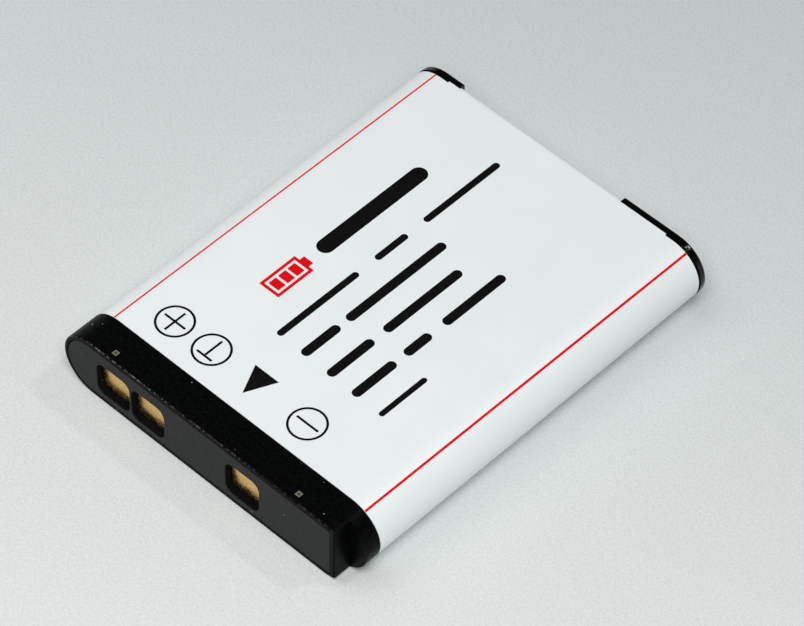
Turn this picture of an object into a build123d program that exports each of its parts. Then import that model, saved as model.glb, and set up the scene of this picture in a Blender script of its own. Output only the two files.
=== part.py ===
"""A flat lithium-ion camera battery: a prismatic cell wrapped in a label film, with a snap-in
contact bezel in a black terminal cap at one end and a black rear cap at the other.

Millimetres. The origin is the middle of the underside. X runs across the contacts, Y from the
terminal face to the rear face, and Z up from the face that the battery lies on.
"""

import os

from build123d import *

# Overall size. The long sides are full rounds, so the section is a slot.
width = 31.0
length = 39.9
height = 6.0

# Label film, with its adhesive, and how it meets the two caps. It lies a step below their skin.
film = 0.1
film_step = 0.02
label_gap = 0.05
seam_gap = 0.2
seam_inset = 7.0
side_relief = 0.18
relief_inset = 3.8
flap_left_inset = 4.95
flap_right_inset = 8.7
flap_setback = 0.25
flap_bend = 0.5
flap_flat = 0.5
flap_foot = 0.9
flap_gap = 0.06

# Terminal cap: a sleeve whose front opening takes the bezel, with a key notch in one corner.
cap_reach = 3.14
cap_rim = 0.35
cap_wall = 0.75
cap_edge = 0.15
spigot_fit = 0.03
notch_width = 1.8
notch_depth = 1.7

# Contact bezel: the plate with the three contact windows, held by four snap nubs.
bezel_depth = 1.3
bezel_fit = 0.06
bezel_edge = 0.06
window_width = 3.55
window_head = 1.65
window_corner = 0.75
window_edge = 0.08
plus_inset = 5.45
sense_pitch = 3.78
minus_pitch = 14.01
latch_size = 0.55
latch_fit = 0.05
latch_setback = 0.78
latch_left_inset = 5.1
latch_right_inset = 6.2

# Contacts, with pads that stand in the windows, and the protection board behind them.
contact_thickness = 0.3
contact_lap = 0.15
contact_room = 0.15
contact_gap = 0.05
pad_rise = 0.68
pad_edge = 0.1
board_thickness = 0.6
board_fit = 0.15
board_corner = 0.4
wiring_room = 2.4

# Parts soldered to the back of the board, in a row between the feet of the two strips.
chip_width = 2.0
chip_height = 2.0
chip_depth = 0.6
switch_width = 3.0
switch_height = 3.0
switch_depth = 0.75
thermistor_width = 1.6
thermistor_height = 0.8
thermistor_depth = 0.5
passive_width = 1.0
passive_height = 0.5
passive_depth = 0.35
passive_pitch = 1.4
passive_rise = 0.9

# Nickel strips between the board and the cell, and the thermal cut-off in the negative one.
strip_thickness = 0.15
strip_width = 2.4
strip_bend = 0.3
strip_room = 1.35
board_foot = 2.2
lid_foot = 3.6
cutoff_width = 3.0
cutoff_height = 3.0
cutoff_depth = 0.6
cutoff_inset = 4.6

# Cell: a drawn can closed by a welded lid with an insulated rivet in the middle.
can_wall = 0.35
lid_thickness = 0.9
weld_gap = 0.02
rivet_head_height = 0.4
rivet_shank = 1.4
gasket_lip = 0.3
gasket_wall = 0.25
gasket_thickness = 0.15
pin_fit = 0.02
plug_diameter = 1.0
plug_dome = 0.15
plug_room = 1.8
sheet_thickness = 0.1
sheet_lap = 1.8
sheet_end_gap = 0.2
sheet_margin = 0.25
sheet_web = 0.3
sheet_fit = 0.1

# Rear cap and the tape that holds it to the cell.
rear_depth = 1.45
rear_flange = 0.6
rear_edge = 0.2
tape_thickness = 0.15
tape_inset = 1.2

# Places along Y and Z that several pieces share.
front = -length / 2
rear = length / 2
middle = height / 2
past = height  # how far a cutting tool runs past the body
shoulder = front + cap_reach
bezel_back = front + bezel_depth
board_front = bezel_back + contact_thickness
board_back = board_front + board_thickness
cell_front = board_back + wiring_room
flange_front = rear - rear_flange
rear_cap_front = rear - rear_depth
cell_rear = rear_cap_front - tape_thickness
bed = film_step + film
label_front = shoulder + label_gap
label_rear = flange_front - label_gap
flap_start = rear - flap_setback - flap_bend - flap_flat

# Places across X and sizes up Z that several pieces share.
side = width / 2
notch_x = side - notch_width
pocket_end = notch_x - cap_wall
flap_left = flap_left_inset - side
flap_right = side - flap_right_inset
window_sill = cap_wall + contact_lap + contact_room
window_height = height - window_sill - window_head
window_z = window_sill + window_height / 2
plus_x = plus_inset - side
sense_x = plus_x + sense_pitch
minus_x = plus_x + minus_pitch
contact_width = window_width - 2 * contact_gap
contact_height = window_height + 2 * contact_lap
pad_height = window_height - 2 * contact_gap
pad_corner = window_corner - contact_gap
strip_reach = pocket_end - strip_room
cutoff_x = strip_reach - cutoff_inset
plug_x = plug_room + lid_foot - strip_reach
sheet_height = 2 * (middle - cap_wall - sheet_margin)
gasket_flange = sheet_height - 2 * (sheet_web + sheet_fit)
rivet_head = gasket_flange - 2 * gasket_lip


def bar(outline, y0, y1):
    """An outline drawn in X and Z, made solid from y0 to y1."""
    return extrude(Plane.XZ.offset(-y1) * outline, amount=y1 - y0)


def slot(inset):
    """The battery's full-round section, drawn in X and Z and set in by the given amount."""
    return Pos(0, middle) * SlotOverall(width - 2 * inset, height - 2 * inset)


def left_of(x):
    """An X and Z outline that holds all of the section to the left of x."""
    reach = width + past
    return Pos(x - reach / 2, middle) * Rectangle(reach, height + past)


def block(wide, tall, deep, x, z, y0):
    """A small part in the place x, z that stands on the plane y0 and reaches towards the rear."""
    return bar(Pos(x, z) * Rectangle(wide, tall), y0, y0 + deep)


def strip(*points):
    """A nickel strip along points given in X and Y, with rounded bends."""
    path = FilletPolyline(*points, radius=strip_bend)
    path = Pos(0, 0, middle) * path
    section = Plane(path @ 0, x_dir=(0, 0, 1), z_dir=path % 0)
    return sweep(section * Rectangle(strip_width, strip_thickness), path=path)


def flap_line(depth):
    """The line in Y and Z that the rear flap follows, the given depth under the caps' skin."""
    top = height - depth
    back = rear - flap_setback - depth
    return FilletPolyline(
        (flap_start, top), (back, top), (back, flap_foot), radius=flap_bend - depth
    )


def latch_places():
    """The X and the face, +1 top or -1 underside, of each snap nub."""
    across = (latch_left_inset - side, side - latch_right_inset)
    return [(x, face) for x in across for face in (1, -1)]


def latch_tool(size, low, high):
    """The four latch posts as one solid group, from low to high above and below mid-height."""
    posts = Part()
    for x, face in latch_places():
        foot = Plane((x, front + latch_setback, middle + face * low), z_dir=(0, 0, face))
        posts += extrude(foot * Rectangle(size, size), amount=high - low)
    return posts


def make_terminal_cap():
    """Sleeve with the bezel's opening in front, a pocket for the board and a rear spigot."""
    body = bar(slot(0), front, shoulder)
    corner = Pos(notch_x + notch_width, middle) * Rectangle(2 * notch_width, height + past)
    body -= bar(corner, front, front + notch_depth)
    rim_edges = body.faces().sort_by(Axis.Y)[0].edges()
    body = fillet(rim_edges, cap_edge)
    body += bar(slot(bed + spigot_fit), shoulder, cell_front)
    body -= bar(slot(cap_rim) & left_of(notch_x - cap_rim), front, bezel_back)
    body -= bar(slot(cap_wall) & left_of(pocket_end), bezel_back, cell_front)
    body -= latch_tool(latch_size, middle - cap_rim - past / 4, middle + past)
    return body


def make_contact_bezel():
    """Front plate with three windows, and the nubs that snap into the cap's latch holes."""
    inset = cap_rim + bezel_fit
    plate = bar(slot(inset) & left_of(notch_x - inset), front, bezel_back)
    plate = chamfer(plate.faces().sort_by(Axis.Y)[0].edges(), bezel_edge)
    for x in (plus_x, sense_x, minus_x):
        window = RectangleRounded(window_width, window_height, window_corner)
        plate -= bar(Pos(x, window_z) * window, front, bezel_back)
    rims = [w.edges() for w in plate.faces().sort_by(Axis.Y)[0].inner_wires()]
    plate = fillet([edge for wire in rims for edge in wire], window_edge)
    nub_root = middle - inset - bezel_edge
    plate += latch_tool(latch_size - 2 * latch_fit, nub_root, middle - latch_fit)
    return plate


def make_contact(x):
    """One gold-plated contact: a plate against the back of the bezel, pressed out into a pad."""
    pad = Pos(x, window_z) * RectangleRounded(contact_width, pad_height, pad_corner)
    pad = bar(pad, bezel_back - pad_rise, board_front)
    pad = fillet(pad.faces().sort_by(Axis.Y)[0].edges(), pad_edge)
    plate = Pos(x, window_z) * RectangleRounded(contact_width, contact_height, window_corner)
    return pad + bar(plate, bezel_back, board_front)


def make_board():
    """Protection board, cut to the cap's pocket and soldered to the backs of the contacts."""
    board_width = 2 * (pocket_end - board_fit)
    board_height = 2 * (middle - cap_wall - board_fit)
    outline = Pos(0, middle) * RectangleRounded(board_width, board_height, board_corner)
    return bar(outline, board_front, board_back)


passive_group = passive_width + passive_pitch


def board_row():
    """The middle of each part in the row on the board, with even gaps between the strips' feet."""
    wide = (chip_width, switch_width, thermistor_width, passive_group, passive_group)
    room = 2 * (strip_reach - board_foot)
    gap = (room - sum(wide)) / (len(wide) + 1)
    ends = [gap * (i + 1) + sum(wide[:i]) - room / 2 for i in range(len(wide))]
    return [end + across / 2 for end, across in zip(ends, wide)]


def make_passives(x):
    """Four small chip parts, two side by side in each of two rows, about the place x."""
    parts = [
        block(passive_width, passive_height, passive_depth,
              x + column * passive_pitch / 2, middle + row * passive_rise, board_back)
        for column in (-1, 1)
        for row in (-1, 1)
    ]
    return Compound(children=parts)


def make_positive_strip():
    """From the can's lid, round the board's end and onto its back."""
    on_lid = cell_front - strip_thickness / 2
    on_board = board_back + strip_thickness / 2
    return strip(
        (lid_foot - strip_reach, on_lid),
        (-strip_reach, on_lid),
        (-strip_reach, on_board),
        (board_foot - strip_reach, on_board),
    )


rivet_front = cell_front - gasket_thickness - rivet_head_height
sheet_front = cell_front - sheet_thickness
cutoff_front = sheet_front - strip_thickness - cutoff_depth


def make_negative_strip():
    """From the rivet's head, down a step and under the thermal cut-off."""
    on_rivet = rivet_front - strip_thickness / 2
    on_sheet = sheet_front - strip_thickness / 2
    step = (rivet_head / 2 + cutoff_x - cutoff_width / 2) / 2
    return strip(
        (-rivet_head / 2, on_rivet),
        (step - strip_bend, on_rivet),
        (step + strip_bend, on_sheet),
        (cutoff_x + cutoff_width / 2, on_sheet),
    )


def make_cutoff_strip():
    """From the front of the thermal cut-off to the back of the board."""
    on_cutoff = cutoff_front - strip_thickness / 2
    on_board = board_back + strip_thickness / 2
    return strip(
        (cutoff_x - cutoff_width / 2, on_cutoff),
        (strip_reach, on_cutoff),
        (strip_reach, on_board),
        (strip_reach - board_foot, on_board),
    )


def make_lid_sheet():
    """Insulating sheet on the lid, with a hole round the rivet's gasket."""
    sheet_left = -gasket_flange / 2 - sheet_lap
    sheet_right = strip_reach - sheet_end_gap
    outline = Pos((sheet_left + sheet_right) / 2, middle) * Rectangle(
        sheet_right - sheet_left, sheet_height)
    outline -= Pos(0, middle) * Circle(gasket_flange / 2 + sheet_fit)
    return bar(outline, sheet_front, cell_front)


lid_back = cell_front + lid_thickness
gasket_sleeve = rivet_shank + 2 * (pin_fit + gasket_wall)


def make_can():
    """Drawn can, sealed with its contents, with a seat for the lid in its mouth."""
    can = bar(slot(bed), cell_front, cell_rear)
    return can - bar(slot(bed + can_wall), cell_front, lid_back)


def make_lid():
    """Lid in the can's mouth, with holes for the rivet's gasket and the fill plug."""
    outline = slot(bed + can_wall + weld_gap)
    outline -= Pos(0, middle) * Circle(gasket_sleeve / 2 + pin_fit)
    outline -= Pos(plug_x, middle) * Circle(plug_diameter / 2 + pin_fit)
    return bar(outline, cell_front, lid_back)


def make_gasket():
    """Flanged sleeve that insulates the rivet from the lid."""
    head_back = cell_front - gasket_thickness
    flange = bar(Pos(0, middle) * Circle(gasket_flange / 2), head_back, cell_front)
    sleeve = bar(Pos(0, middle) * Circle(gasket_sleeve / 2), cell_front, lid_back)
    bore = Pos(0, middle) * Circle(rivet_shank / 2 + pin_fit)
    return flange + sleeve - bar(bore, head_back, lid_back)


def make_rivet():
    """Negative terminal: a flat head on the gasket and a shank through the lid."""
    head_back = cell_front - gasket_thickness
    head = bar(Pos(0, middle) * Circle(rivet_head / 2), rivet_front, head_back)
    return head + bar(Pos(0, middle) * Circle(rivet_shank / 2), head_back, lid_back)


def make_fill_plug():
    """Plug pressed into the fill hole, with a low dome in front of the lid."""
    radius = plug_diameter / 2
    apex = (0, cell_front - plug_dome)
    edge = (radius, cell_front)
    dome = TangentArc(apex, edge, tangent=(1, 0))
    sides = Polyline(edge, (radius, lid_back), (0, lid_back), apex)
    return Pos(plug_x, 0, middle) * revolve(make_face(dome + sides), axis=Axis.Y)


def make_rear_cap():
    """Plate under the label's end, with a flange that shows at the two corners."""
    flange = bar(slot(0), flange_front, rear)
    flange = fillet(flange.faces().sort_by(Axis.Y)[-1].edges(), rear_edge)
    cap = flange + bar(slot(bed + spigot_fit), rear_cap_front, flange_front)
    seat = flap_line(bed)
    beyond_y = rear + past
    beyond_z = height + past
    outside = Polyline(
        seat @ 1,
        (seat @ 1) - (0, flap_gap),
        (beyond_y, flap_foot - flap_gap),
        (beyond_y, beyond_z),
        (flap_start, beyond_z),
        seat @ 0,
    )
    recess = make_face(seat + outside)
    recess = Plane.YZ.offset(flap_left - flap_gap) * recess
    return cap - extrude(recess, amount=flap_right - flap_left + 2 * flap_gap)


def make_label_wrap():
    """Film round the cell, butted along a seam underneath, with a flap folded down at the rear."""
    wrap = bar(slot(film_step) - slot(bed), label_front, label_rear)
    seam = Pos(side - seam_inset, 0) * Rectangle(seam_gap, 4 * bed)
    wrap -= bar(seam, label_front, label_rear)
    kept = Pos(0, middle) * Rectangle(width - 2 * relief_inset, height)
    wrap -= bar(slot(0) - kept, label_rear - side_relief, label_rear)
    flap_middle = (flap_left + flap_right) / 2
    flap_width = flap_right - flap_left
    above = Pos(flap_middle, middle) * Rectangle(
        flap_width, height, align=(Align.CENTER, Align.MIN))
    wrap -= bar(above, flap_start, label_rear)
    path = Plane.YZ.offset(flap_middle) * flap_line(film_step + film / 2)
    section = Plane(path @ 0, x_dir=(1, 0, 0), z_dir=path % 0)
    return wrap + sweep(section * Rectangle(flap_width, film), path=path)


chip_x, switch_x, thermistor_x, capacitor_x, resistor_x = board_row()

nodes = {
    "label_wrap": make_label_wrap(),
    "terminal_cap": make_terminal_cap(),
    "contact_bezel": make_contact_bezel(),
    "contact_plus": make_contact(plus_x),
    "contact_sense": make_contact(sense_x),
    "contact_minus": make_contact(minus_x),
    "protection_board": make_board(),
    "protection_chip": block(chip_width, chip_height, chip_depth, chip_x, middle, board_back),
    "switch_transistor": block(
        switch_width, switch_height, switch_depth, switch_x, middle, board_back),
    "thermistor": block(
        thermistor_width, thermistor_height, thermistor_depth, thermistor_x, middle, board_back),
    "chip_capacitors": make_passives(capacitor_x),
    "chip_resistors": make_passives(resistor_x),
    "positive_strip": make_positive_strip(),
    "negative_strip": make_negative_strip(),
    "thermal_cutoff": block(
        cutoff_width, cutoff_height, cutoff_depth, cutoff_x, middle, cutoff_front),
    "cutoff_strip": make_cutoff_strip(),
    "lid_sheet": make_lid_sheet(),
    "cell_can": make_can(),
    "cell_lid": make_lid(),
    "rivet_gasket": make_gasket(),
    "terminal_rivet": make_rivet(),
    "fill_plug": make_fill_plug(),
    "rear_tape": bar(slot(tape_inset), cell_rear, rear_cap_front),
    "rear_cap": make_rear_cap(),
}

os.makedirs("parts", exist_ok=True)
for name, solid in nodes.items():
    export_step(solid, f"parts/{name}.step")
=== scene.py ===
import math

import bmesh
import bpy
import numpy as np
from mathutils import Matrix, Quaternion, Vector


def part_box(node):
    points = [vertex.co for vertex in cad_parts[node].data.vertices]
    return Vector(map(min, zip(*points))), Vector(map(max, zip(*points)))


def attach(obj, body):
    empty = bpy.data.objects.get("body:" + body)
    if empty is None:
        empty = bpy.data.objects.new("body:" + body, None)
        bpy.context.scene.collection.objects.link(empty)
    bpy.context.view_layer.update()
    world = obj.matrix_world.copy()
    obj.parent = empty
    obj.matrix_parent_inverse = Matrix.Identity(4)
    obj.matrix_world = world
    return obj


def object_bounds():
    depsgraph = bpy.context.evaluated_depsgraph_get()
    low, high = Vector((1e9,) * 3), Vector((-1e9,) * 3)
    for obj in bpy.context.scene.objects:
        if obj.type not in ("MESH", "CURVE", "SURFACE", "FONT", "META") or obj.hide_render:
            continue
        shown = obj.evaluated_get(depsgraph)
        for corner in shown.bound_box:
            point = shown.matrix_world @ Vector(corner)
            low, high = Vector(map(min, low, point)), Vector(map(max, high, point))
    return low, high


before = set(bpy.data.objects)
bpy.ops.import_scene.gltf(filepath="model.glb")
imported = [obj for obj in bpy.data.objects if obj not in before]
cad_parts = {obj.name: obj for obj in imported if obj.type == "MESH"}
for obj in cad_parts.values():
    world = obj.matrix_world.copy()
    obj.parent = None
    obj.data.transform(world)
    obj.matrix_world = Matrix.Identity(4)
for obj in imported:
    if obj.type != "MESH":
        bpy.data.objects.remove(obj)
cad_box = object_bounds()

# Sealed cell. A drawn aluminium can with a laser-welded lid, an insulated nickel-plated rivet
# in the middle of the lid and a pressed-in plug over the fill hole. The film hides all of it.
mm = 0.001


def add(tree, kind, inputs=None, **settings):
    """One node in a tree: settings are its properties, inputs are values or sockets to link."""
    node = tree.nodes.new(kind)
    for name, value in settings.items():
        setattr(node, name, value)
    for name, value in (inputs or {}).items():
        if isinstance(value, bpy.types.NodeSocket):
            tree.links.new(value, node.inputs[name])
        else:
            node.inputs[name].default_value = value
    return node


def maths(tree, operation, first, second=0.0):
    """One step of arithmetic on numbers or sockets."""
    return add(tree, "ShaderNodeMath", {0: first, 1: second}, operation=operation).outputs[0]


def ramp(tree, value, low, high, start=0.0, stop=1.0):
    """A value carried evenly from the span low to high onto the span start to stop, and held there."""
    spans = {"Value": value, "From Min": low, "From Max": high, "To Min": start, "To Max": stop}
    return add(tree, "ShaderNodeMapRange", spans).outputs["Result"]


def tint(tree, share, first, second):
    """A colour that goes from the first to the second as the share goes from 0 to 1."""
    colours = {"Factor": share, "A": first, "B": second}
    return add(tree, "ShaderNodeMix", colours, data_type="RGBA").outputs["Result"]


def noise(tree, place, scale, detail, roughness=0.5):
    """Soft noise from 0 to 1, with about scale features to the millimetre."""
    pattern = {"Vector": place, "Scale": scale, "Detail": detail, "Roughness": roughness}
    return add(tree, "ShaderNodeTexNoise", pattern).outputs["Fac"]


def new_group(name, inputs, outputs):
    """An empty shader group with the named sockets, and the sockets that its nodes start from."""
    tree = bpy.data.node_groups.new(name, "ShaderNodeTree")
    for label, kind, value in inputs:
        socket = tree.interface.new_socket(label, in_out="INPUT", socket_type=kind)
        if value is not None:
            socket.default_value = value
    for label, kind in outputs:
        tree.interface.new_socket(label, in_out="OUTPUT", socket_type=kind)
    return tree, tree.nodes.new("NodeGroupInput").outputs


def close_group(tree, **results):
    """Links each result to the group's output of that name."""
    end = tree.nodes.new("NodeGroupOutput")
    for name, socket in results.items():
        tree.links.new(socket, end.inputs[name])


# Mottle: soft noise of a given feature size that drifts between two colours and two
# roughnesses, as cast, rolled, printed and moulded surfaces all do a little.
mottle, given = new_group(
    "mottle",
    [("Place", "NodeSocketVector", None), ("Feature", "NodeSocketFloat", 1.0),
     ("Light", "NodeSocketColor", None), ("Dark", "NodeSocketColor", None),
     ("Smooth", "NodeSocketFloat", 0.3), ("Rough", "NodeSocketFloat", 0.5)],
    [("Colour", "NodeSocketColor"), ("Roughness", "NodeSocketFloat"), ("Height", "NodeSocketFloat")])
cloud_low, cloud_high = 0.3, 0.7
pitch = maths(mottle, "DIVIDE", 1.0, given["Feature"])
cloud = noise(mottle, given["Place"], pitch, detail=4.0, roughness=0.6)
share = ramp(mottle, cloud, cloud_low, cloud_high)
sheen = ramp(mottle, cloud, cloud_low, cloud_high, given["Smooth"], given["Rough"])
close_group(mottle, Colour=tint(mottle, share, given["Dark"], given["Light"]), Roughness=sheen, Height=cloud)


def new_finish(name):
    """A material with its shader, and the surface place in millimetres for its patterns."""
    finish = bpy.data.materials.new(name)
    finish.use_nodes = True
    tree = finish.node_tree
    metres = add(tree, "ShaderNodeTexCoord").outputs["Object"]
    place = add(tree, "ShaderNodeVectorMath", {0: metres, 1: (1 / mm, 1 / mm, 1 / mm)}, operation="MULTIPLY")
    return finish, tree, tree.nodes["Principled BSDF"], place.outputs[0]


def placed(tree, group, **values):
    """The outputs of a shader group that is put into a material with its own values."""
    return add(tree, "ShaderNodeGroup", values, node_tree=group).outputs


def coat(tree, shader, colour, roughness, height, relief):
    """Gives a shader its colour, its roughness and, where it has one, a relief in millimetres."""
    tree.links.new(colour, shader.inputs["Base Color"])
    tree.links.new(roughness, shader.inputs["Roughness"])
    if relief:
        bump = add(tree, "ShaderNodeBump", {"Height": height, "Strength": 1.0, "Distance": relief * mm})
        tree.links.new(bump.outputs["Normal"], shader.inputs["Normal"])


def mottled(name, light, dark, feature, smooth, rough,
            stretch=(1, 1, 1), relief=0.0, metallic=0.0, gloss=0.5):
    """A finish that is mottle alone, drawn out along an axis where its stretch is under 1."""
    finish, tree, shader, place = new_finish(name)
    drawn = add(tree, "ShaderNodeVectorMath", {0: place, 1: stretch}, operation="MULTIPLY").outputs[0]
    look = placed(tree, mottle, Place=drawn, Feature=feature, Light=(*light, 1), Dark=(*dark, 1),
                  Smooth=smooth, Rough=rough)
    coat(tree, shader, look["Colour"], look["Roughness"], look["Height"], relief)
    shader.inputs["Metallic"].default_value = metallic
    shader.inputs["Specular IOR Level"].default_value = gloss
    return finish


def dress(finish, *names):
    """Gives CAD nodes a finish."""
    for name in names:
        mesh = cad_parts[name].data
        mesh.materials.clear()
        mesh.materials.append(finish)


aluminium = mottled("drawn aluminium", light=(0.80, 0.81, 0.82), dark=(0.70, 0.71, 0.73), feature=0.5,
                    smooth=0.28, rough=0.42, stretch=(1, 0.05, 1), relief=0.004, metallic=1.0)
dress(aluminium, "cell_can", "cell_lid", "fill_plug")
gasket_plastic = mottled("rivet gasket", light=(0.86, 0.86, 0.82), dark=(0.78, 0.78, 0.74), feature=0.6,
                         smooth=0.45, rough=0.6)
dress(gasket_plastic, "rivet_gasket")

# Wiring. Bright nickel strips are spot-welded to the lid and the rivet and soldered to the
# board, with a thermal cut-off in the negative one and a pressed-paper sheet under it.
nickel = mottled("rolled nickel", light=(0.68, 0.65, 0.60), dark=(0.58, 0.55, 0.50), feature=0.4,
                 smooth=0.22, rough=0.38, stretch=(0.08, 0.08, 1), relief=0.003, metallic=1.0)
dress(nickel, "positive_strip", "negative_strip", "cutoff_strip", "terminal_rivet")
paper = mottled("pressed paper", light=(0.45, 0.42, 0.35), dark=(0.36, 0.33, 0.27), feature=0.25,
                smooth=0.7, rough=0.9, relief=0.02)
dress(paper, "lid_sheet")
resin = mottled("moulded resin", light=(0.040, 0.040, 0.042), dark=(0.022, 0.022, 0.024), feature=0.12,
                smooth=0.45, rough=0.65, relief=0.006)
dress(resin, "thermal_cutoff", "protection_chip", "switch_transistor")

# Protection board. A thin glass-fibre laminate under green solder mask, with its chips, the
# thermistor and the small ceramic parts soldered to the side that faces the cell.
solder_mask = mottled("solder mask", light=(0.035, 0.190, 0.080), dark=(0.020, 0.120, 0.050), feature=0.35,
                      smooth=0.25, rough=0.40, relief=0.006)
dress(solder_mask, "protection_board")
ceramic = mottled("fired ceramic", light=(0.52, 0.41, 0.29), dark=(0.40, 0.31, 0.21), feature=0.2,
                  smooth=0.45, rough=0.6, relief=0.004)
dress(ceramic, "thermistor", "chip_capacitors", "chip_resistors")

# Contacts. Stamped plates with a thin gold flash, a little dulled by pins that have slid on
# them. They lie against the back of the bezel, and their pads stand in its windows.
gold = mottled("gold flash", light=(0.94, 0.63, 0.25), dark=(0.72, 0.42, 0.13), feature=0.5,
               smooth=0.20, rough=0.32, relief=0.0006, metallic=1.0)
dress(gold, "contact_plus", "contact_sense", "contact_minus")

# Terminal cap and rear cap. Moulded in black plastic with a fine spark-eroded grain. Their
# rims are rubbed to grey in broken lines, and a little lint lies on the black.
case_low, case_high = (np.array(corner) for corner in cad_box)
rear_y = case_high[1]
round_radius = (case_high[2] - case_low[2]) / 2
half_height = round_radius / mm
flat_half = case_high[0] - round_radius


def split(tree, place):
    """The three coordinates of a place."""
    return add(tree, "ShaderNodeSeparateXYZ", {0: place}).outputs


def diagonal(tree, across, along):
    """The length of the vector that has the two given sides."""
    sides = add(tree, "ShaderNodeCombineXYZ", {"X": across, "Y": along}).outputs[0]
    return add(tree, "ShaderNodeVectorMath", {0: sides}, operation="LENGTH").outputs["Value"]


# Lint: a speck at the middle of some of the cells of a loose pattern, each of its own strength.
lint, given = new_group(
    "lint",
    [("Place", "NodeSocketVector", None), ("Spacing", "NodeSocketFloat", 1.0),
     ("Size", "NodeSocketFloat", 0.05), ("Share", "NodeSocketFloat", 0.2)],
    [("Mask", "NodeSocketFloat")])
pitch = maths(lint, "DIVIDE", 1.0, given["Spacing"])
cells = add(lint, "ShaderNodeTexVoronoi", {"Vector": given["Place"], "Scale": pitch}).outputs
chance = add(lint, "ShaderNodeSeparateColor", {"Color": cells["Color"]}).outputs
speck = maths(lint, "LESS_THAN", cells["Distance"], maths(lint, "MULTIPLY", given["Size"], pitch))
kept = maths(lint, "LESS_THAN", chance["Red"], given["Share"])
faint = maths(lint, "MULTIPLY", kept, chance["Green"])
close_group(lint, Mask=maths(lint, "MULTIPLY", speck, faint))

# Rim wear: how near a place is to the front or rear rim of the slot section. The distance over
# the section is that of a slot, and it is joined with the distance from the end face.
rim_wear, given = new_group(
    "rim wear",
    [("Place", "NodeSocketVector", None), ("Reach", "NodeSocketFloat", 0.2),
     ("Breaks", "NodeSocketFloat", 1.0)],
    [("Mask", "NodeSocketFloat")])
patch_low, patch_high = 0.48, 0.62
axes = split(rim_wear, given["Place"])
beyond = maths(rim_wear, "SUBTRACT", maths(rim_wear, "ABSOLUTE", axes["X"]), flat_half / mm)
beyond = maths(rim_wear, "MAXIMUM", beyond, 0.0)
above = maths(rim_wear, "SUBTRACT", axes["Z"], half_height)
skin = maths(rim_wear, "SUBTRACT", diagonal(rim_wear, beyond, above), half_height)
end = maths(rim_wear, "SUBTRACT", maths(rim_wear, "ABSOLUTE", axes["Y"]), rear_y / mm)
near = ramp(rim_wear, diagonal(rim_wear, skin, end), 0.0, given["Reach"], start=1.0, stop=0.0)
pitch = maths(rim_wear, "DIVIDE", 1.0, given["Breaks"])
patches = noise(rim_wear, given["Place"], pitch, detail=5.0, roughness=0.7)
broken = ramp(rim_wear, patches, patch_low, patch_high)
close_group(rim_wear, Mask=maths(rim_wear, "MULTIPLY", near, broken))

plastic_light = (0.0027, 0.0031, 0.0034)
plastic_dark = (0.0002, 0.0003, 0.0003)
plastic_feature = 0.3
grain_scale = 7.0
grain_relief = 0.010
lint_white = (0.70, 0.70, 0.68)
lint_spacing = 0.7
lint_size = 0.05
lint_share = 0.16


def black_plastic(name, rubbed, rubbed_tone, gloss, smooth, rough, dull_behind=rear_y):
    """Black moulding: mottled black, with a masked paler tone and lint over it. Walls
    that lie further back than dull_behind are left rough from the mould."""
    finish, tree, shader, place = new_finish(name)
    look = placed(tree, mottle, Place=place, Feature=plastic_feature, Light=(*plastic_light, 1),
                  Dark=(*plastic_dark, 1), Smooth=smooth, Rough=rough)
    specks = placed(tree, lint, Place=place, Spacing=lint_spacing, Size=lint_size, Share=lint_share)
    worn = tint(tree, rubbed(tree, place), look["Colour"], (*rubbed_tone, 1))
    dusty = tint(tree, specks["Mask"], worn, (*lint_white, 1))
    inner = maths(tree, "GREATER_THAN", split(tree, place)["Y"], dull_behind / mm)
    dull = maths(tree, "MAXIMUM", inner, look["Roughness"])
    coat(tree, shader, dusty, dull, noise(tree, place, grain_scale, detail=2.0), grain_relief)
    shader.inputs["Specular IOR Level"].default_value = gloss
    return finish


rubbed_grey = (0.75, 0.75, 0.70)
rubbed_reach = 0.09
rubbed_breaks = 0.3
handled_left, handled_right = -8.0, 4.0
handled_least = 0.25


def rubbed_rim(tree, place):
    """Grey along the front and rear rims, in broken lines, most of all on the left."""
    wear = placed(tree, rim_wear, Place=place, Reach=rubbed_reach, Breaks=rubbed_breaks)
    handled = ramp(tree, split(tree, place)["X"], handled_left, handled_right, start=1.0, stop=handled_least)
    return maths(tree, "MULTIPLY", wear["Mask"], handled)


cap_plastic = black_plastic("black cap plastic", rubbed_rim, rubbed_grey, gloss=0.04, smooth=0.30, rough=0.42)
dress(cap_plastic, "terminal_cap")
end_plastic = black_plastic("black end plastic", rubbed_rim, rubbed_grey, gloss=0.30, smooth=0.10, rough=0.15)
dress(end_plastic, "rear_cap")
foam = mottled("foam tape", light=(0.64, 0.64, 0.61), dark=(0.55, 0.55, 0.52), feature=0.3,
               smooth=0.7, rough=0.9, relief=0.01)
dress(foam, "rear_tape")

# Contact bezel. The same black plastic, snapped into the cap from the front. Its four nubs
# come up through the cap's latch holes, and their tops are coloured pale olive, most of all round their
# edges.
face_y = case_low[1]
window_edge = 0.05 * mm
nub_left = -10.4
nub_right = 9.3
nub_setback = 0.78
nub_half = 0.225
pale_nub_olive = (0.20, 0.20, 0.165)
pale_nub_depth = 0.2
pale_nub_inner = 0.3 * nub_half
pale_nub_outer = 0.9 * nub_half
pale_nub_middle = 0.22


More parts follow.
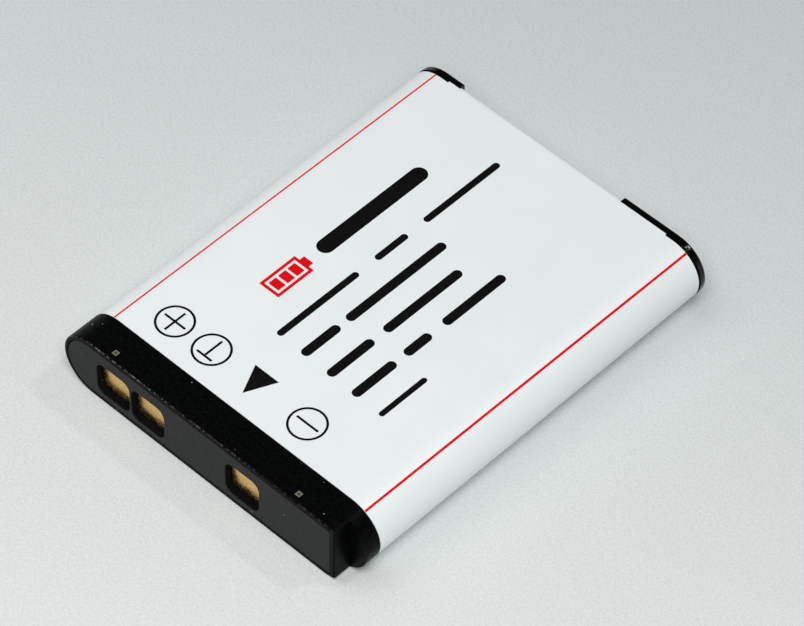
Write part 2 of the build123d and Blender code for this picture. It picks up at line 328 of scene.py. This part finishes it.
def pale_nub_edges(tree, place):
    """Pale on the nubs alone: above the bezel's plate, and more towards the edge of each square,
    where the larger of the distances across and along from its middle is greatest."""
    axes = split(tree, place)
    rise = maths(tree, "ABSOLUTE", maths(tree, "SUBTRACT", axes["Z"], half_height))
    proud = maths(tree, "GREATER_THAN", rise, half_height - pale_nub_depth)
    middle = ramp(tree, maths(tree, "GREATER_THAN", axes["X"], 0.0), 0.0, 1.0, nub_left, nub_right)
    across = maths(tree, "ABSOLUTE", maths(tree, "SUBTRACT", axes["X"], middle))
    along = maths(tree, "ABSOLUTE", maths(tree, "SUBTRACT", axes["Y"], face_y / mm + nub_setback))
    edge = ramp(tree, maths(tree, "MAXIMUM", across, along), pale_nub_inner, pale_nub_outer, start=pale_nub_middle)
    return maths(tree, "MULTIPLY", proud, edge)


bezel_plastic = black_plastic("black bezel plastic", pale_nub_edges, pale_nub_olive, gloss=0.14, smooth=0.30,
                              rough=0.42, dull_behind=face_y + window_edge)
dress(bezel_plastic, "contact_bezel")

# Label. A white satin film, printed and then wrapped round the cell, with its ends butted
# underneath and a flap folded down over the rear cap. Its colour greys towards the rear as painted shade.
front_light, shaded_rear_light = (0.870, 0.905, 0.915), (0.785, 0.825, 0.835)
front_dark, shaded_rear_dark = (0.845, 0.885, 0.895), (0.765, 0.805, 0.815)
film_feature = 5.0
film_smooth, film_rough = 0.34, 0.46
film_relief = 0.004
white_film, tree, shader, place = new_finish("white label film")
# Painted shade: the film's colours darken evenly from the terminal face to the rear end, as if less light
# falls there.
painted_rear_shade = ramp(tree, split(tree, place)["Y"], face_y / mm, rear_y / mm)
look = placed(tree, mottle, Place=place, Feature=film_feature, Smooth=film_smooth, Rough=film_rough,
              Light=tint(tree, painted_rear_shade, (*front_light, 1), (*shaded_rear_light, 1)),
              Dark=tint(tree, painted_rear_shade, (*front_dark, 1), (*shaded_rear_dark, 1)))
coat(tree, shader, look["Colour"], look["Roughness"], look["Height"], film_relief)
dress(white_film, "label_wrap")

# Print. Thin layers of ink on the film: two red rules along the sides, the circled marks of
# the three terminals, an arrow towards them, rows of plain bars and a battery pictogram.
ink_thickness = 0.012 * mm
merge_distance = 1e-8
ring_steps = 96
pill_steps = 9
label_low, label_high = (np.array(corner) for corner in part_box("label_wrap"))
film_radius = (label_high[2] - label_low[2]) / 2
film_middle = (label_high[2] + label_low[2]) / 2


def on_film(across, along, lift):
    """A point of the film: across is measured over the surface from the middle line, so past the
    flat it turns round the side, along from the terminal face, and lift along the normal."""
    turn = np.clip(np.abs(across) - flat_half, 0, None) / film_radius
    flat = np.clip(across, -flat_half, flat_half)
    x = flat + np.sign(across) * (film_radius + lift) * np.sin(turn)
    z = film_middle + (film_radius + lift) * np.cos(turn)
    return np.stack([x, face_y + along, z], axis=-1).reshape(-1, 3)


def ink_layer(across, along, looped=False):
    """A closed layer of ink over a grid of film places in millimetres: the grid on the film, the
    same grid one thickness up, and a wall round the edge. A looped grid closes on its first row."""
    across, along = np.broadcast_arrays(across * mm, along * mm)
    points = np.concatenate([on_film(across, along, ink_thickness), on_film(across, along, 0.0)])
    count = across.size
    top = np.arange(count).reshape(across.shape)
    if looped:
        top = np.vstack([top, top[:1]])
        rims = [top[:, 0], top[:, -1]]
    else:
        rims = [np.concatenate([top[0], top[1:, -1], top[-1, -2::-1], top[-2::-1, 0]])]
    upper = np.stack([top[:-1, :-1], top[1:, :-1], top[1:, 1:], top[:-1, 1:]], -1).reshape(-1, 4)
    lower = upper[:, ::-1] + count
    walls = [np.stack([rim[:-1], rim[1:], rim[1:] + count, rim[:-1] + count], -1) for rim in rims]
    return points, np.concatenate([upper, lower, *walls])


def ink_bar(across_low, across_high, along_low, along_high):
    """A rectangle of ink: the corners of the two spans."""
    across = np.array([[across_low], [across_high]])
    return ink_layer(across, np.array([[along_low, along_high]]))


def ink_stroke(middle, half_across, along_low, along_high):
    """A bar of a mark: half its width each way from the mark's middle, and a span along from it."""
    across, along = middle
    return ink_bar(across - half_across, across + half_across, along + along_low, along + along_high)


def ink_pill(across, tall, along_low, along_high):
    """A bar of ink with round ends: its half height follows a quarter circle at each end."""
    half = tall / 2
    sweep = np.linspace(0, np.pi / 2, pill_steps)
    inset = half * (1 - np.cos(sweep))
    along = np.concatenate([along_low + inset, along_high - inset[::-1]])
    height = half * np.concatenate([np.sin(sweep), np.sin(sweep[::-1])])
    sides = np.array([[-1.0], [1.0]])
    return ink_layer(across + sides * height, along[None, :] + 0 * sides)


def ink_rule(across_start, across_stop, stroke, along_low, along_high):
    """A line of ink that leans a little: its place across drifts evenly from start to stop."""
    way = np.array([[0.0, 1.0]])
    spread = np.array([[-stroke / 2], [0.0], [stroke / 2]])
    return ink_layer(across_start + (across_stop - across_start) * way + spread,
                     along_low + (along_high - along_low) * way + 0 * spread)


def ink_ring(across, along, outer, stroke):
    """A ring of ink: the angle goes round the loop and the radius over the stroke."""
    angle = np.linspace(0, 2 * np.pi, ring_steps, endpoint=False)[:, None]
    radius = np.array([[outer - stroke, outer]])
    return ink_layer(across + radius * np.cos(angle), along + radius * np.sin(angle), looped=True)


def ink_arrow(across, along, half_width, length):
    """A triangle of ink that points to the terminals: its width shrinks to nothing at the tip."""
    way = np.array([[0.0, 1.0]])
    edge = np.array([[-half_width], [half_width]])
    return ink_layer(across + edge * (1 - way), along - length * way + 0 * edge)


def print_ink(name, layers, finish):
    """One printed piece from its layers, merged where a layer's corners meet."""
    starts = np.cumsum([0] + [len(points) for points, _ in layers[:-1]])
    points = np.concatenate([points for points, _ in layers])
    quads = np.concatenate([faces + start for (_, faces), start in zip(layers, starts)])
    mesh = bpy.data.meshes.new(name)
    mesh.from_pydata(points.tolist(), [], quads.tolist())
    shell = bmesh.new()
    shell.from_mesh(mesh)
    bmesh.ops.remove_doubles(shell, verts=shell.verts, dist=merge_distance)
    bmesh.ops.recalc_face_normals(shell, faces=shell.faces)
    shell.to_mesh(mesh)
    shell.free()
    mesh.materials.append(finish)
    piece = bpy.data.objects.new(name, mesh)
    bpy.context.scene.collection.objects.link(piece)
    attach(piece, "root")


# Black print. Places and lengths are in millimetres over the film, across and then along.
plus, sense, minus = (-9.39, 6.13), (-5.35, 6.10), (5.04, 6.01)
mark_radius = 1.63
mark_stroke = 0.2
mark_arm = 1.12
half_stroke = mark_stroke / 2
tee_arm, tee_head, tee_neck, tee_foot = 0.8, 0.9, 0.7, 1.15
arrow_across, arrow_base, arrow_half, arrow_length = -0.63, 7.38, 1.26, 2.66
marks = [ink_ring(*middle, mark_radius, mark_stroke) for middle in (plus, sense, minus)]
marks += [
    ink_stroke(plus, mark_arm, -half_stroke, half_stroke),
    ink_stroke(plus, half_stroke, -mark_arm, -half_stroke),
    ink_stroke(plus, half_stroke, half_stroke, mark_arm),
    ink_stroke(minus, mark_arm, -half_stroke, half_stroke),
    ink_stroke(sense, tee_arm, -tee_head, -tee_neck),
    ink_stroke(sense, half_stroke, -tee_neck, tee_foot),
    ink_arrow(arrow_across, arrow_base, arrow_half, arrow_length),
]

# Rows of bars: the middle of the row across the film, its height, and the span of each bar.
rows = [
    (-6.5, 1.5, [(19.0, 31.0)]),
    (-2.75, 0.62, [(10.7, 19.5), (21.5, 25.0), (27.0, 35.5)]),
    (0.0, 0.85, [(10.6, 14.6), (15.5, 26.4)]),
    (2.85, 0.85, [(10.5, 15.4), (16.7, 25.2)]),
    (5.6, 0.85, [(10.4, 15.0), (16.1, 18.9), (20.4, 27.2)]),
    (8.4, 0.5, [(10.4, 15.5)]),
]
bars = [ink_pill(middle, tall, start, stop) for middle, tall, spans in rows for start, stop in spans]
black_ink = mottled("black ink", light=(0.0040, 0.0036, 0.0036), dark=(0.0015, 0.0015, 0.0015), feature=0.4,
                    smooth=0.42, rough=0.55, gloss=0.10)
print_ink("printed_marks", marks + bars, black_ink)

# Red print. The rules lean a little, as the film was wrapped, and the pictogram is a cell with
# a tip and three bars of charge.
rule_inset, rule_hem = 0.02, 0.58
rule_start = (label_low[1] - face_y) / mm + rule_inset
rule_stop = (label_high[1] - face_y) / mm - rule_hem
left_front, left_rear, left_stroke = -13.08, -13.02, 0.15
right_front, right_rear, right_stroke = 13.89, 14.04, 0.20
rules = [
    ink_rule(left_front, left_rear, left_stroke, rule_start, rule_stop),
    ink_rule(right_front, right_rear, right_stroke, rule_start, rule_stop),
]
cell_low, cell_high, cell_stroke = -7.5, -5.4, 0.28
cell_start, cell_stop = 13.4, 17.3
cell_middle = (cell_low + cell_high) / 2
tip_half, tip_stop = 0.5, 17.8
charge_inset, charge_length = 0.5, 0.82
charge_starts = (13.9, 14.94, 15.98)
pictogram = [
    ink_bar(cell_low, cell_low + cell_stroke, cell_start, cell_stop),
    ink_bar(cell_high - cell_stroke, cell_high, cell_start, cell_stop),
    ink_bar(cell_low + cell_stroke, cell_high - cell_stroke, cell_start, cell_start + cell_stroke),
    ink_bar(cell_low + cell_stroke, cell_high - cell_stroke, cell_stop - cell_stroke, cell_stop),
    ink_bar(cell_middle - tip_half, cell_middle + tip_half, cell_stop, tip_stop),
]
pictogram += [ink_bar(cell_low + charge_inset, cell_high - charge_inset, start, start + charge_length)
              for start in charge_starts]
red_ink = mottled("red ink", light=(0.74, 0.003, 0.008), dark=(0.68, 0.002, 0.005), feature=0.6,
                  smooth=0.42, rough=0.55, gloss=0.10)
print_ink("printed_rules", rules + pictogram, red_ink)

# Floor. A wide sheet of pale grey paper, laid flat under the battery. Its colour is painted lighter
# towards the front right as painted light from the lamps, and its fibres give it a faint cloudiness.
floor_half = 3.0
floor_roughness = 0.9
floor_gloss = 0.2
lit_near_tone = (0.80, 0.825, 0.815)
shaded_far_tone = (0.51, 0.545, 0.55)
slope = (0.37, -0.93, 0.0)
slope_half = 50.0
fibre_scale = 4.5
fibre_dark, fibre_light = 0.76, 1.24
corners = np.array([[-1, -1, 0], [1, -1, 0], [1, 1, 0], [-1, 1, 0]]) * floor_half
floor_mesh = bpy.data.meshes.new("floor")
floor_mesh.from_pydata(corners.tolist(), [], [(0, 1, 2, 3)])
floor = bpy.data.objects.new("floor", floor_mesh)
bpy.context.scene.collection.objects.link(floor)
pale, tree, shader, place = new_finish("pale floor")
# Painted light: the floor's tone ramps from darker at the rear left to lighter at the front right.
fall = add(tree, "ShaderNodeVectorMath", {0: place, 1: slope}, operation="DOT_PRODUCT").outputs["Value"]
painted_light_falloff = ramp(tree, fall, -slope_half, slope_half)
fibre = noise(tree, place, fibre_scale, detail=3.0, roughness=0.75)
cloudy = ramp(tree, fibre, 0.0, 1.0, fibre_dark, fibre_light)
tone = tint(tree, painted_light_falloff, (*shaded_far_tone, 1), (*lit_near_tone, 1))
sheet = add(tree, "ShaderNodeVectorMath", {0: tone, "Scale": cloudy}, operation="SCALE").outputs[0]
tree.links.new(sheet, shader.inputs["Base Color"])
shader.inputs["Roughness"].default_value = floor_roughness
shader.inputs["Specular IOR Level"].default_value = floor_gloss
floor_mesh.materials.append(pale)

# Light. A wide soft lamp above the camera, a weaker one from the left, a faint small one over
# the rear right, and a pale horizon that fades upwards, so that level black surfaces mirror a
# dark ceiling.
horizon_glow, ceiling_glow = 0.80, 0.03
ceiling_height = 0.4


def shine(name, direction, strength, width):
    """A distant lamp that shines from a direction, as wide in the sky as the given degrees."""
    lamp = bpy.data.lights.new(name, "SUN")
    lamp.energy = strength
    lamp.angle = math.radians(width)
    holder = bpy.data.objects.new(name, lamp)
    holder.rotation_euler = Vector(direction).to_track_quat("Z", "Y").to_euler()
    bpy.context.scene.collection.objects.link(holder)


shine("wide soft light", direction=(0.33, -0.38, 0.865), strength=2.31, width=40)
shine("left fill light", direction=(-0.46, -0.15, 0.875), strength=0.81, width=44)
shine("small rear light", direction=(0.30, 0.47, 0.83), strength=0.25, width=4)
world = bpy.data.worlds.new("studio")
world.use_nodes = True
bpy.context.scene.world = world
tree = world.node_tree
height = split(tree, add(tree, "ShaderNodeTexCoord").outputs["Generated"])["Z"]
glow = ramp(tree, height, 0.0, ceiling_height, horizon_glow, ceiling_glow)
tree.links.new(glow, tree.nodes["Background"].inputs["Color"])

# Camera. It looks down on the battery from the right of the terminal end, at the place, lens
# and tilt that line up with the photograph.
aim = Vector((-0.97, 2.70, 0.0)) * mm
distance = 377.6 * mm
azimuth = math.radians(43.30)
elevation = math.radians(49.55)
roll = math.radians(0.73)
sensor_width = 36.0
lens_length = 214.7
toward = Vector((math.sin(azimuth) * math.cos(elevation),
                 -math.cos(azimuth) * math.cos(elevation),
                 math.sin(elevation)))
eye = bpy.data.objects.new("camera", bpy.data.cameras.new("camera"))
eye.data.sensor_width = sensor_width
eye.data.lens = lens_length
eye.location = aim + distance * toward
eye.rotation_euler = (toward.to_track_quat("Z", "Y") @ Quaternion((0, 0, 1), roll)).to_euler()
bpy.context.scene.collection.objects.link(eye)
bpy.context.scene.camera = eye
bpy.context.scene.view_settings.view_transform = "Standard"
